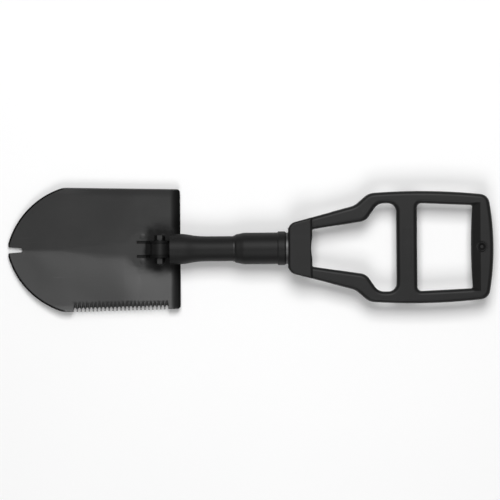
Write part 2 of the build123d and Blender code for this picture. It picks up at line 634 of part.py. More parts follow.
def make_thrust_washer():
    """Bright ring between the collar and the hub."""
    outer = FLANGE_RADIUS - THRUST_WASHER_STEP
    return ring(COLLAR_REAR_X + FACE_GAP / 2, WASHER_REAR_X, SHANK_BORE, outer)


# ---- grip
def grip_outline():
    """The grip's outer edge in plan: front face, splayed cheeks, shoulders, bowed sides and end."""
    front = (HUB_X, HUB_FRONT_HALF_WIDTH)
    waist = (CROSSBAR_X - WAIST_AHEAD, WAIST_HALF_WIDTH)
    shoulder = (CROSSBAR_X - SHOULDER_AHEAD, GRIP_HALF_WIDTH - SHOULDER_INSET)
    widest = (CROSSBAR_X + WIDEST_BACK, GRIP_HALF_WIDTH)
    corner = (END_X - END_BULGE, GRIP_HALF_WIDTH - END_CORNER_INSET)
    upper = [Line(front, waist), Line(waist, shoulder), ThreePointArc(shoulder, widest, corner)]
    lower = [mirror(edge, about=Plane.XZ) for edge in upper]
    ends = [
        Line(front, (front[0], -front[1])),
        ThreePointArc(corner, (END_X, 0), (corner[0], -corner[1])),
    ]
    plan = make_face(upper + lower + ends)
    rounds = [(front, HUB_CORNER_RADIUS), (waist, CHEEK_RADIUS), (shoulder, CHEEK_RADIUS)]
    rounds += [(corner, END_CORNER_RADIUS)]
    for (x, _), radius in rounds:
        plan = fillet(corners_at(plan, x), radius)
    return plan


def front_opening():
    """The opening between hub and cross bar: narrow by the hub, wide by the cross bar."""
    near = (HUB_REAR_X, FORK_START_HALF_WIDTH)
    neck = (CROSSBAR_X - FORK_NECK_AHEAD, FORK_NECK_HALF_WIDTH)
    wide = GRIP_HALF_WIDTH - GRIP_RAIL
    flare = (CROSSBAR_X - FORK_FLARE_AHEAD, wide)
    far = (CROSSBAR_X, wide)
    upper = [Line((near[0], BITE_HALF_WIDTH), near), Line(near, neck), Line(neck, flare)]
    upper += [Line(flare, far)]
    lower = [mirror(edge, about=Plane.XZ) for edge in upper]
    bite = [(near[0], BITE_HALF_WIDTH), (near[0] - BITE_DEPTH, 0), (near[0], -BITE_HALF_WIDTH)]
    ends = [ThreePointArc(*bite), Line(far, (far[0], -far[1]))]
    plan = make_face(upper + lower + ends)
    for (x, y), radius in zip((near, neck, flare, far), FORK_RADII):
        plan = fillet(corners_at(plan, x, y), radius)
    return plan


def rear_opening():
    """The hand opening between cross bar and end bar."""
    x_from = CROSSBAR_X + CROSSBAR_WIDTH
    x_to = END_X - END_BAR + HAND_BOW
    half_front = GRIP_HALF_WIDTH - GRIP_RAIL
    half_rear = half_front - HAND_TAPER
    edges = [
        Line((x_from, half_front), (x_to, half_rear)),
        ThreePointArc((x_to, half_rear), (x_to - HAND_BOW, 0), (x_to, -half_rear)),
        Line((x_to, -half_rear), (x_from, -half_front)),
        Line((x_from, -half_front), (x_from, half_front)),
    ]
    plan = make_face(edges)
    plan = fillet(corners_at(plan, x_from), HAND_FRONT_RADIUS)
    return fillet(corners_at(plan, x_to), HAND_REAR_RADIUS)


def between(plan, z_from, z_to):
    """A plan face made solid between two heights."""
    return Pos(0, 0, z_from) * extrude(plan, amount=z_to - z_from)


def make_frame():
    """Rails, cross bar and end bar, with rounded edges above and below."""
    frame = between(grip_outline() - front_opening() - rear_opening(), FRAME_BOTTOM, FRAME_TOP)
    by_height = frame.faces().sort_by(Axis.Z)
    return fillet(by_height[0].edges() + by_height[-1].edges(), FRAME_ROUND)


def make_hub():
    """Flat-topped head over the hinge slot, with the hinge barrel under it."""
    window = Pos(HUB_X + HUB_LENGTH / 2, 0) * Rectangle(HUB_LENGTH, GRIP_WIDTH)
    head = between(grip_outline() & window, FRAME_BOTTOM, HUB_TOP)
    head = fillet(head.faces().sort_by(Axis.Z)[-1].edges(), HUB_TOP_ROUND)
    barrel = Pos(GRIP_PIN_X, GRIP_PIN_Z) * Circle(BARREL_RADIUS)
    rear_x = HUB_REAR_X - HUB_REAR_INSET
    corners = [
        (GRIP_PIN_X - BARREL_RADIUS, GRIP_PIN_Z),
        (HUB_X, GRIP_PIN_Z + HUB_UNDERCUT),
        (HUB_X, FRAME_BOTTOM + HUB_OVERLAP),
        (rear_x, FRAME_BOTTOM + HUB_OVERLAP),
        (rear_x, FRAME_BOTTOM),
        (GRIP_PIN_X + BARREL_RADIUS, GRIP_PIN_Z),
    ]
    side = barrel + make_face(Polyline(*corners, close=True).edges())
    lower = cross_plate(side, -BARREL_HALF_WIDTH, BARREL_HALF_WIDTH)
    return head + lower - between(front_opening(), -FAR, FAR)


def end_facet():
    """Cutter for the slope on the end bar's inner side, up to a ridge along its middle."""
    x_from = END_X - END_BAR
    foot = Rectangle(FACET_FOOT, GRIP_WIDTH - 2 * GRIP_RAIL - 10)
    deep = Pos(x_from + FACET_FOOT / 2, 0, FRAME_TOP - FACET_DEPTH) * foot
    wide = END_BAR - DIMPLE_FROM_END - FACET_RIDGE
    high = Pos(x_from + wide / 2, 0, FRAME_TOP + 0.01) * Rectangle(wide, GRIP_WIDTH - 2 * GRIP_RAIL)
    return loft([high, deep], ruled=True)


def hub_cutters():
    """The lug's slot, open to the front and below, the pin's bore and the caps' seats."""
    slot_top = KNUCKLE_TOP + SLOT_TOP_GAP
    slot_rear = GRIP_PIN_X + SLOT_BEHIND_PIN
    pin = (GRIP_PIN_X, GRIP_PIN_Z)
    return [
        block(HUB_X - 1, slot_rear, -SLOT_HALF, SLOT_HALF, GRIP_PIN_Z, slot_top),
        block(HUB_X - 1, GRIP_PIN_X + HUB_LENGTH, -SLOT_HALF, SLOT_HALF, -FAR, GRIP_PIN_Z),
        cross_cylinder(*pin, BARREL_RADIUS + KNUCKLE_GAP, -SLOT_HALF, SLOT_HALF),
        cross_cylinder(*pin, HUB_BUSH_RADIUS, -CAP_SEAT, CAP_SEAT),
        cross_cylinder(*pin, PIN_CAP_RADIUS, CAP_SEAT, FAR),
        cross_cylinder(*pin, PIN_CAP_RADIUS, -FAR, -CAP_SEAT),
    ]


def dimple_cutters():
    """A ring groove with a shallow cup inside it, on the end bar."""
    place = Pos(END_X - DIMPLE_FROM_END, 0, FRAME_TOP - DIMPLE_DEPTH)
    depth = 2 * DIMPLE_DEPTH
    groove = place * (Cylinder(DIMPLE_RADIUS, depth) - Cylinder(DIMPLE_RADIUS - DIMPLE_RING, depth))
    cup_radius = DIMPLE_RADIUS / 2
    cup = place * Cone(cup_radius - DIMPLE_CUP_SLOPE, cup_radius + DIMPLE_CUP_SLOPE, depth)
    return [groove, cup]


def make_grip():
    recess = Pos(CROSSBAR_X + CROSSBAR_WIDTH / 2, 0, FRAME_TOP)
    cutters = [recess * Box(RECESS_WIDTH, RECESS_LENGTH, 2 * RECESS_DEPTH), end_facet()]
    return make_frame() + make_hub() - (cutters + hub_cutters() + dimple_cutters())


def make_hub_bushes():
    place = (GRIP_PIN_X, GRIP_PIN_Z, GRIP_PIN_RADIUS, HUB_BUSH_RADIUS)
    return both_sides(lambda: cross_ring(*place, SLOT_HALF, CAP_SEAT))


def make_grip_pin():
    return cross_cylinder(GRIP_PIN_X, GRIP_PIN_Z, GRIP_PIN_RADIUS, -CAP_SEAT, CAP_SEAT)


def make_pin_cap():
    """A push-in cap at one end of the handle pin."""
    outer = BARREL_HALF_WIDTH + PIN_CAP_PROUD
    cap = cross_cylinder(GRIP_PIN_X, GRIP_PIN_Z, PIN_CAP_RADIUS, CAP_SEAT, outer)
    return fillet(cap.edges().group_by(Axis.Y)[-1], PIN_CAP_ROUND)


def main():
    os.makedirs("parts", exist_ok=True)
    write("blade", make_blade())
    write("hinge_bracket", make_bracket())
    write("bracket_rivets", *(make_rivet(x, y) for x, y in rivet_places()))
    write("hinge_bolt", make_bolt())
    write("hinge_nut", make_nut())
    write("hinge_washers", *make_hinge_washers())
    write("hinge_tongue", make_tongue())
    bore = BOLT_RADIUS + RUNNING_GAP
    bush = (BLADE_PIN_X, BLADE_PIN_HEIGHT, bore, TONGUE_BUSH_RADIUS)
    write("tongue_bush", cross_ring(*bush, -TONGUE_HALF, TONGUE_HALF))
    write("tie_rod", make_tie_rod())
    write("tongue_pin", make_cross_pin(TONGUE_PIN_X, BOSS_RADIUS))
    write("rear_knuckle", make_knuckle())
    write("knuckle_pin", make_cross_pin(KNUCKLE_PIN_X, SHANK_RADIUS))
    bush = (GRIP_PIN_X, GRIP_PIN_Z, GRIP_PIN_RADIUS + RUNNING_GAP, KNUCKLE_BUSH_RADIUS)
    write("knuckle_bush", cross_ring(*bush, -KNUCKLE_HALF_WIDTH, KNUCKLE_HALF_WIDTH))
    write("neck_tube", make_tube())
    write("front_guide_bush", make_front_bush())
    write("rear_guide_bush", make_rear_bush())
    write("thread_sleeve", make_sleeve())
    write("lock_collar", make_collar())
    write("thread_insert", make_insert())
    write("wiper_ring", make_wiper())
    write("thrust_washer", make_thrust_washer())
    write("handle_grip", make_grip())
    write("hub_bushes", *make_hub_bushes())
    write("handle_pin", make_grip_pin())
    write("pin_caps", *both_sides(make_pin_cap))


main()
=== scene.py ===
# %% [markdown] # A folding camp shovel, finished in Blender  The shovel's working shape comes from
# a CAD model: a pressed blade on a hinge, a tube neck with a turning collar, and a moulded loop
# grip on a second hinge. Blender adds what the CAD leaves out: the finish of every surface, and
# the small pieces that make it look made.

# %% Load the frame
import json
import math

import bmesh
import bpy
import numpy as np
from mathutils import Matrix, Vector
from mathutils.kdtree import KDTree


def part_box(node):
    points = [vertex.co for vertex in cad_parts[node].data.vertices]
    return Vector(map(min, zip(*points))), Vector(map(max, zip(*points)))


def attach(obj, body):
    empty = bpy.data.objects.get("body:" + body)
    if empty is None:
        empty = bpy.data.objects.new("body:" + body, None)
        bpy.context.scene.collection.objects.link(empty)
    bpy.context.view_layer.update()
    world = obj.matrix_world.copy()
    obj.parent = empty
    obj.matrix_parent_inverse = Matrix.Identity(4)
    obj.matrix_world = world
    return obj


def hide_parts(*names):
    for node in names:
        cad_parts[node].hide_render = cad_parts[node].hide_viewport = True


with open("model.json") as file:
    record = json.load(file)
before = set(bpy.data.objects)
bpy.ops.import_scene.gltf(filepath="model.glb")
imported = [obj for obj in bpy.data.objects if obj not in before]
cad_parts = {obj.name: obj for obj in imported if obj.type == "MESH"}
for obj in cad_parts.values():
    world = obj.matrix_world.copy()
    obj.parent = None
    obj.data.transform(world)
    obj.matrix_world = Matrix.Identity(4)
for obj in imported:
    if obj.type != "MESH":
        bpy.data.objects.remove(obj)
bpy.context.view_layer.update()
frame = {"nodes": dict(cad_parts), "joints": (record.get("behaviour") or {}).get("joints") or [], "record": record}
nodes = frame["nodes"]
record = frame["record"]
MM = 0.001

# %% [markdown]
# ## Arithmetic on shader sockets
#
# A finish is mostly sums of patterns: grain plus scratches, times a mask. Wiring each sum by hand
# takes many lines, so one small class wraps a socket and turns Python's operators into Math nodes.
# Every other node comes from one method, `node`, which sets the node's own settings first and then
# fills its sockets with numbers or links.


# %% Socket arithmetic and the finish class
OBJECT_OUTPUT = 3  # of a Texture Coordinate node
MIX_COLOUR_OUTPUT = 2  # of a Mix node
VECTOR_VALUE_OUTPUT = 1  # of a Vector Math node


class Level:
    """One grey value that varies over a surface."""

    def __init__(self, finish, socket):
        self.finish = finish
        self.socket = socket

    def math(self, operation, *others, flipped=False):
        terms = [self, *others]
        if flipped:
            terms.reverse()
        settings = {"operation": operation}
        return self.finish.node("ShaderNodeMath", settings, dict(enumerate(terms)))

    def __add__(self, other):
        return self.math("ADD", other)

    def __radd__(self, other):
        return self.math("ADD", other, flipped=True)

    def __sub__(self, other):
        return self.math("SUBTRACT", other)

    def __rsub__(self, other):
        return self.math("SUBTRACT", other, flipped=True)

    def __mul__(self, other):
        return self.math("MULTIPLY", other)

    def __rmul__(self, other):
        return self.math("MULTIPLY", other, flipped=True)

    def step(self, low, high):
        """0 below low, 1 above high, smooth between. low may be the larger, which turns it round."""
        settings = {"interpolation_type": "SMOOTHSTEP"}
        sockets = {"Value": self, "From Min": low, "From Max": high}
        return self.finish.node("ShaderNodeMapRange", settings, sockets)


class Finish:
    """A material that is built up from nodes, on one Principled shader."""

    def __init__(self, name, **constants):
        self.material = bpy.data.materials.new(name)
        self.material.use_nodes = True
        self.tree = self.material.node_tree
        self.shader = self.tree.nodes["Principled BSDF"]
        for socket, value in constants.items():
            self.shader.inputs[socket.replace("_", " ")].default_value = value

    def node(self, kind, settings=None, sockets=None, output=0):
        made = self.tree.nodes.new(kind)
        for name, value in (settings or {}).items():
            setattr(made, name, value)
        for name, value in (sockets or {}).items():
            self.plug(made.inputs[name], value)
        return Level(self, made.outputs[output])

    def plug(self, socket, value):
        if isinstance(value, Level):
            self.tree.links.new(value.socket, socket)
        else:
            socket.default_value = value

    def set(self, **inputs):
        for name, value in inputs.items():
            self.plug(self.shader.inputs[name.replace("_", " ")], value)

    def place(self, stretch=(1, 1, 1)):
        """Object coordinates, stretched."""
        where = self.node("ShaderNodeTexCoord", output=OBJECT_OUTPUT)
        return self.node("ShaderNodeMapping", {}, {"Vector": where, "Scale": stretch})

    def axis(self, letter):
        """The X, Y or Z coordinate of each point, in metres."""
        where = self.node("ShaderNodeTexCoord", output=OBJECT_OUTPUT)
        return self.node("ShaderNodeSeparateXYZ", {}, {0: where}, "XYZ".index(letter))

    def noise(self, scale, detail=3.0, roughness=0.5, stretch=(1, 1, 1)):
        """Soft random pattern; scale is in blotches per metre."""
        sockets = {"Vector": self.place(stretch), "Scale": scale}
        sockets.update({"Detail": detail, "Roughness": roughness})
        return self.node("ShaderNodeTexNoise", {"noise_dimensions": "3D"}, sockets)

    def cells(self, scale):
        """Distance to the nearest of many random points: pebbles, chips and pores."""
        sockets = {"Vector": self.place(), "Scale": scale}
        return self.node("ShaderNodeTexVoronoi", {"feature": "F1"}, sockets)

    def blend(self, amount, first, second):
        """A colour between two, by amount."""
        sockets = {0: amount, 6: first, 7: second}  # the Mix node's factor and its two colours
        return self.node("ShaderNodeMix", {"data_type": "RGBA"}, sockets, MIX_COLOUR_OUTPUT)

    def bump(self, height, strength, distance, under=None):
        """A height pattern as a normal. under is a coarser bump that it lies on."""
        sockets = {"Height": height, "Strength": strength, "Distance": distance}
        if under is not None:
            sockets["Normal"] = under
        return self.node("ShaderNodeBump", {}, sockets)

    def distance_from(self, point, keep=(1, 1, 1)):
        """How far each place is from a point, in metres, along the axes that keep names."""
        settings = {"operation": "DISTANCE"}
        sockets = {0: self.place(keep), 1: [p * k for p, k in zip(point, keep)]}
        return self.node("ShaderNodeVectorMath", settings, sockets, VECTOR_VALUE_OUTPUT)


def grey(value):
    """A colour with equal parts of red, green and blue."""
    return (value, value, value, 1)


print("operators ready:", [name for name in vars(Level) if name.startswith("__r")], "and more")


# %% [markdown]
# ## The camera
#
# The shovel lies on its back and is seen from straight above. A long lens far away keeps the high
# collar and the low blade at the same scale, with no side wall in sight. The frame is a little
# wider than the shovel, and the camera is turned a fraction of a degree, as if the shovel had been
# laid down by hand.

# %% Camera
LENS_MM = 200.0
SENSOR_MM = 36.0
FRAME_WIDTH = 0.62025
FRAME_CENTRE = Vector((0.0, -0.0019, 0.025))
ROLL_DEGREES = -0.46

camera_data = bpy.data.cameras.new("overhead")
camera_data.lens = LENS_MM
camera_data.sensor_width = SENSOR_MM
camera_data.clip_end = 20
camera = bpy.data.objects.new("overhead", camera_data)
camera_height = FRAME_WIDTH * LENS_MM / SENSOR_MM
camera.location = FRAME_CENTRE + Vector((0, 0, camera_height))
camera.rotation_euler = (0, 0, math.radians(ROLL_DEGREES))
bpy.context.scene.collection.objects.link(camera)
bpy.context.scene.camera = camera
bpy.context.scene.view_settings.view_transform = "Standard"
print("camera height", round(camera_height, 3), "m")

# %% [markdown]
# ## Floor and light
#
# Black coatings show their shape only by what they reflect. One sun-like lamp would leave a sharp
# spot and hard shadows, so three big square softboxes are used. The strongest stands on the far side
# (+Y) and is mirrored by the blade half that leans towards it, which is why one half looks lighter
# than the other. A weaker one on the near side shows the round of the tube and the grip, and a
# panel straight above fills in. The dim surroundings keep the sides from going fully black.


# %% Stage and lights
FLOOR_HALF_SIZE = 6.0
ROOM_BRIGHTNESS = 0.12
SOFTBOXES = [  # name, place and width in metres, watts
    ("far_softbox", (0.1, 1.15, 2.35), 1.3, 50),
    ("near_softbox", (0.0, -1.5, 2.2), 1.2, 22),
    ("overhead_panel", (0.0, 0.0, 3.9), 2.2, 14),
]


def make_floor():
    """A wide sheet of pale paper under the shovel."""
    sheet = bmesh.new()
    bmesh.ops.create_grid(sheet, x_segments=1, y_segments=1, size=FLOOR_HALF_SIZE)
    mesh = bpy.data.meshes.new("floor")
    sheet.to_mesh(mesh)
    sheet.free()
    floor = bpy.data.objects.new("floor", mesh)
    bpy.context.scene.collection.objects.link(floor)
    paper = Finish("paper_floor", Roughness=0.9)
    mottle = paper.noise(3.0, 2.0)
    paper.set(Base_Color=paper.blend(mottle, grey(0.93), grey(0.96)))
    mesh.materials.append(paper.material)


def make_area_light(name, place, size, watts):
    """A square softbox that faces the shovel's middle."""
    data = bpy.data.lights.new(name, "AREA")
    data.energy = watts
    data.size = size
    light = bpy.data.objects.new(name, data)
    light.location = place
    light.rotation_euler = (-Vector(place)).to_track_quat("-Z", "Y").to_euler()
    bpy.context.scene.collection.objects.link(light)


make_floor()
for softbox in SOFTBOXES:
    make_area_light(*softbox)
world = bpy.data.worlds.new("dim_room")
world.use_nodes = True
background = world.node_tree.nodes["Background"]
background.inputs["Color"].default_value = grey(1.0)
background.inputs["Strength"].default_value = ROOM_BRIGHTNESS
bpy.context.scene.world = world
print("floor laid,", len(SOFTBOXES), "softboxes set")

# %% [markdown]
# ## Finishes
#
# Each finish starts from a base colour and adds grain, wear and small height changes, all worked
# out from Object coordinates, which stay fixed to the metal when the shovel folds. Three families
# cover the whole tool: baked coating on steel, machined metal, and moulded nylon.

# %% [markdown]
# ## Black baked coating
#
# The blade, tube, collar and forgings are steel under a thin black baked coat. Up close such a coat
# has orange peel, a fine grain, and dust caught in it, and handling rubs faint streaks along the
# tool. A single noise could stand for all of it, but each of these has its own size, so each gets
# its own pattern, and they are added as sums and blends.


# %% A coated steel finish
GRAIN_SCALE = 1500
PEEL_SCALE = 420
PEEL_DEPTH = 0.12 * MM
STREAK_SCALE = 60
STREAK_STRETCH = (0.25, 4, 1)  # long along the tool, narrow across it
BLOTCH_SCALE = 16
DUST_SCALE = 900
DUST_PATCH_SCALE = 45
DUST_GREY = 0.09


def coated_steel(name, base, rough, peel=1.0, gloss=0.3, wear_and_shade=None):
    """Baked coat on steel: orange peel, rubbed streaks, fine speckle.

    wear_and_shade, where given, is a function that adds painted shade, a painted highlight and bare specks of wear
    to the coat.
    """
    coat = Finish(name, Specular_IOR_Level=gloss)
    grain = coat.noise(GRAIN_SCALE, 2.0)
    peel_height = coat.noise(PEEL_SCALE, 2.0) * 0.7 + grain * 0.3
    streaks = coat.noise(STREAK_SCALE, 4.0, 0.6, stretch=STREAK_STRETCH).step(0.62, 0.8)
    blotch = coat.noise(BLOTCH_SCALE, 3.0).step(0.35, 0.7)
    dust_patches = coat.noise(DUST_PATCH_SCALE, 2.0).step(0.52, 0.7)
    dust = coat.cells(DUST_SCALE).step(0.16, 0.08) * dust_patches
    colour = coat.blend(blotch, grey(base * 0.9), grey(base * 1.12))
    colour = coat.blend(streaks * 0.35, colour, grey(base * 2.2))
    colour = coat.blend(dust * 0.3, colour, grey(DUST_GREY))
    roughness = rough + (grain - 0.5) * 0.1 - streaks * 0.08 + dust * 0.2
    under = None
    if wear_and_shade:
        colour, roughness, under = wear_and_shade(coat, base, blotch, colour, roughness)
    coat.set(
        Base_Color=colour,
        Roughness=roughness,
        Normal=coat.bump(peel_height, 0.25 * peel, PEEL_DEPTH, under),
    )
    return coat


# %% [markdown]
# ## Bare and blackened metal
#
# The bolt, pins and rings are turned on a lathe, which leaves fine marks all in one direction. An
# anisotropic shader could give their sheen, but it doesn't survive baking. A noise stretched a lot
# along one axis gives the same marks in colour, roughness and height.


# %% A turned metal finish
TURNING_SCALE = 220
TURNING_STRETCH = (40, 1, 1)
TURNING_DEPTH = 0.05 * MM
DULL_SPOT_SCALE = 90


def turned_metal(name, base, rough):
    """Machined metal with fine turning marks and a few dull spots."""
    metal = Finish(name, Metallic=1.0)
    marks = metal.noise(TURNING_SCALE, 3.0, 0.6, stretch=TURNING_STRETCH)
    spots = metal.noise(DULL_SPOT_SCALE, 3.0).step(0.5, 0.75)
    metal.set(
        Base_Color=metal.blend(marks * 0.5 + spots * 0.3, grey(base), grey(base * 0.7)),
        Roughness=rough + spots * 0.15 + (marks - 0.5) * 0.1,
        Normal=metal.bump(marks, 0.2, TURNING_DEPTH),
    )
    return metal


# %% [markdown]
# ## Moulded nylon
#
# The grip is nylon filled with glass fibre, moulded in a tool with a spark-eroded surface. That
# gives tiny pebbles. The melt leaves faint flow lines, and hands leave pale scuffs. Pebbles come
# from a cell pattern, which has rounder grains than a noise has.


# %% A nylon finish
PEBBLE_SCALE = 1500
FINE_SCALE = 3200
CLOUD_SCALE = 22
FLOW_SCALE = 35
FLOW_STRETCH = (0.3, 2.5, 1)
SCUFF_SCALE = 260
SCUFF_STRETCH = (1, 0.2, 1)
SCUFF_PATCH_SCALE = 12
PEBBLE_DEPTH = 0.12 * MM


def moulded_nylon(name, base, rough):
    """Glass-filled nylon: spark-eroded texture, faint flow lines and handling scuffs."""
    nylon = Finish(name, Specular_IOR_Level=0.2)
    pebble = nylon.cells(PEBBLE_SCALE)
    fine = nylon.noise(FINE_SCALE, 2.0)
    cloud = nylon.noise(CLOUD_SCALE, 3.0).step(0.3, 0.7)
    flow = nylon.noise(FLOW_SCALE, 4.0, 0.6, stretch=FLOW_STRETCH).step(0.45, 0.75)
    scuffs = nylon.noise(SCUFF_SCALE, 5.0, 0.7, stretch=SCUFF_STRETCH).step(0.66, 0.74)
    scuffs = scuffs * nylon.noise(SCUFF_PATCH_SCALE, 2.0).step(0.5, 0.65)
    colour = nylon.blend(cloud, grey(base * 0.92), grey(base * 1.1))
    colour = nylon.blend(flow * 0.4, colour, grey(base * 1.35))
    nylon.set(
        Base_Color=nylon.blend(scuffs * 0.5, colour, grey(base * 3.5)),
        Roughness=rough + (fine - 0.5) * 0.12 - flow * 0.05 + scuffs * 0.12,
        Normal=nylon.bump(pebble * 0.6 + fine * 0.4, 0.3, PEBBLE_DEPTH),
    )
    return nylon


# %% [markdown]
# ## Where the blade's coat changes
#
# Shade is painted into the coat where it rounds over the nose's edge and the rolled tread, round the hinge, in
# each slot and in the hollow beside the straight side. A painted highlight runs along the straight side's lip. The
# coat is rubbed bare in specks at the digging tip and on the saw's teeth. An edge mask could come from a bevel
# shader or from curvature, but neither survives baking, so the masks are worked out from the outline's own arcs
# and lines.

# %% The blade's outline
blade_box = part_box("blade")
tip_x = blade_box[0].x
rear_x = blade_box[1].x
NOSE_ARC_RADIUS = 102.5 * MM
NOSE_ARC_BACK = 98.3 * MM  # the arc's centre, behind the tip
NOSE_ARC_ACROSS = 20.9 * MM  # and beyond the middle line
NOSE_END = (72 * MM, 68 * MM)  # behind the tip, where the nose's rim fades out
RIM_WIDTH = 2.4 * MM
TREAD_WIDTH = 13 * MM
SIDE_CORNER = 69.6 * MM  # behind the tip, where the nose meets the sides
SIDE_SLOPE = 3.1 / 145.1  # how fast the sides draw in behind it
SIDE_EDGE = 77.5 * MM
LIP_FADE = (1.8 * MM, 0.9 * MM)  # from the side's edge
LIP_START = (66 * MM, 70 * MM)  # behind the tip
IN_PLAN = (1, 1, 0)  # distances in plan
FROM_MIDDLE = (0, 1, 0)  # distances from the middle line
print("blade from", round(tip_x, 4), "to", round(rear_x, 4), "m")


# %% Masks for its edges
def nose_edge(coat, width):
    """1 at either nose arc, fading inwards over a width."""
    masks = []
    for side in (-1, 1):
        centre = (tip_x + NOSE_ARC_BACK, side * NOSE_ARC_ACROSS, 0)
        reach = coat.distance_from(centre, IN_PLAN)
        masks.append(reach.step(NOSE_ARC_RADIUS - width, NOSE_ARC_RADIUS - 0.2 * width))
    ahead = coat.axis("X").step(tip_x + NOSE_END[0], tip_x + NOSE_END[1])
    return masks[0].math("MAXIMUM", masks[1]) * ahead


def side_reach(coat):
    """How far toward the straight side, with its slope taken out."""
    return coat.axis("Y") + (coat.axis("X") - (tip_x + SIDE_CORNER)) * SIDE_SLOPE


def lip_highlight(coat):
    """A painted highlight along the thin lip of the straight side."""
    behind = coat.axis("X").step(tip_x + LIP_START[0], tip_x + LIP_START[1])
    return side_reach(coat).step(SIDE_EDGE - LIP_FADE[0], SIDE_EDGE - LIP_FADE[1]) * behind


def blade_rim(coat):
    """The nose's edge and the rolled tread, where shade is painted and the surface falls away."""
    # painted shade on the tread, where the sheet rolls away from the light
    tread = coat.axis("X").step(rear_x - TREAD_WIDTH, rear_x - TREAD_WIDTH * 0.4)
    return nose_edge(coat, RIM_WIDTH).math("MAXIMUM", tread * 0.85)


# %% Masks for its painted shade and its bare places
SLOT_ACROSS = 8.85 * MM  # a slot's middle, from the middle line
SLOT_FADE = (1.7 * MM, 1.1 * MM)  # from a slot's middle
SLOT_FRONT = (55 * MM, 54 * MM)  # ahead of the rear edge
PATCH_ACROSS = (31 * MM, 20 * MM)
PATCH_FRONT = (47 * MM, 39 * MM)  # ahead of the rear edge
PATCH_RAGGED = 12 * MM
RAGGED_SCALE = 90
HOLLOW_FADE = (12 * MM, 4 * MM)  # from the side's edge
HOLLOW_START = (66 * MM, 110 * MM)  # behind the tip
TIP_WEAR = (60 * MM, 8 * MM)  # from the tip
WORN_EDGE = 1.0 * MM
SAW_WEAR = (6 * MM, 1 * MM)  # from the saw's points


def blade_painted_shade(coat):
    """Painted shade round the hinge, in each slot, and in the hollow beside the straight side."""
    x = coat.axis("X")
    across = coat.distance_from((0, 0, 0), FROM_MIDDLE)
    ragged = (coat.noise(RAGGED_SCALE, 3.0) - 0.5) * PATCH_RAGGED
    along = (x + ragged).step(rear_x - PATCH_FRONT[0], rear_x - PATCH_FRONT[1])
    # painted shadow of the hinge's ears and bolt on the blade, ragged at its edges
    hinge_shade = (across + ragged).step(*PATCH_ACROSS) * along * 0.8
    behind_front = x.step(rear_x - SLOT_FRONT[0], rear_x - SLOT_FRONT[1])
    # painted shade down each slot beside the ears
    slots = (across - SLOT_ACROSS).math("ABSOLUTE").step(*SLOT_FADE) * behind_front
    # painted shade in the hollow beside the straight side, about a third as strong
    hollow = side_reach(coat).step(SIDE_EDGE - HOLLOW_FADE[0], SIDE_EDGE - HOLLOW_FADE[1])
    behind = x.step(tip_x + HOLLOW_START[0], tip_x + HOLLOW_START[1])
    return hinge_shade.math("MAXIMUM", slots.math("MAXIMUM", hollow * behind * 0.35))


def blade_wear(coat):
    """Rubbed places: the tip and nose edge, and the saw teeth's points."""
    near_tip = coat.distance_from((tip_x, 0, 0), IN_PLAN).step(*TIP_WEAR)
    saw_y = blade_box[0].y
    teeth = coat.axis("Y").step(saw_y + SAW_WEAR[0], saw_y + SAW_WEAR[1])
    return nose_edge(coat, WORN_EDGE) * near_tip * 0.5 + teeth * 0.35


# %% Lay the masks over the coat
# the colour of the painted shade on the blade
PAINTED_SHADE_BLACK = 0.004
BARE_STEEL = 0.2
EDGE_FALL = 1.2 * MM  # how far the surface drops at a rim
SHEET_SWELL = 2 * MM  # height of the pressed sheet's slow waves
CHIP_SCALE = 700
SWELL_SCALE = 14


def blade_wear_and_shade(coat, base, blotch, colour, roughness):
    """Adds painted shade at the nose's edge, tread, hinge, slots and hollow, a painted highlight on the straight
    side's lip, bare specks of wear and the sheet's slow waves.
    """
    edge = blade_rim(coat)
    # painted shade: the rim and tread, with the hinge, slot and hollow shade
    painted_shade = edge.math("MAXIMUM", blade_painted_shade(coat) * (blotch * 0.15 + 0.8))
    chipped = blade_wear(coat) * coat.noise(CHIP_SCALE, 3.0, 0.7).step(0.5, 0.62)
    colour = coat.blend(painted_shade, colour, grey(PAINTED_SHADE_BLACK))
    # painted highlight along the straight side's lip
    colour = coat.blend(lip_highlight(coat) * 0.7, colour, grey(base * 4))
    colour = coat.blend(chipped, colour, grey(BARE_STEEL))
    # painted shade is made metallic too, which cuts its reflection; the bare specks are real wear
    coat.set(Metallic=(painted_shade * 0.9).math("MAXIMUM", chipped))
    swell = coat.bump(coat.noise(SWELL_SCALE, 1.0, 0.3), 1.0, SHEET_SWELL)
    return colour, roughness + painted_shade * 0.2, coat.bump(1 - edge, 1.0, EDGE_FALL, swell)


# %% [markdown]
# ## A finish for every part
#
# The CAD record gives each part a material slot. One finish is made for each slot, and a table says
# which. Making a material for every single part would repeat the same numbers many times. The
# collar's front ring is the one exception: grit has dulled it, unlike the ring behind the collar.

# %% Give every frame part its finish
blade_coat = coated_steel("blade_coat", 0.016, 0.38, wear_and_shade=blade_wear_and_shade)
bracket_coat = coated_steel("bracket_coat", 0.005, 0.5, gloss=0.12)
tube_coat = coated_steel("tube_coat", 0.009, 0.52, peel=0.6, gloss=0.18)
collar_coat = coated_steel("collar_coat", 0.009, 0.5, peel=0.4, gloss=0.17)
forging_black = coated_steel("forging_black", 0.007, 0.5, peel=1.5, gloss=0.2)
bolt_black = turned_metal("bolt_black", 0.034, 0.45)
bright_turning = turned_metal("bright_turning", 0.1, 0.5)
rod_steel = turned_metal("rod_steel", 0.45, 0.3)
bronze = turned_metal("bronze", 0.5, 0.35)
natural_nylon = moulded_nylon("natural_nylon", 0.6, 0.5)
grip_nylon = moulded_nylon("grip_nylon", 0.0095, 0.44)

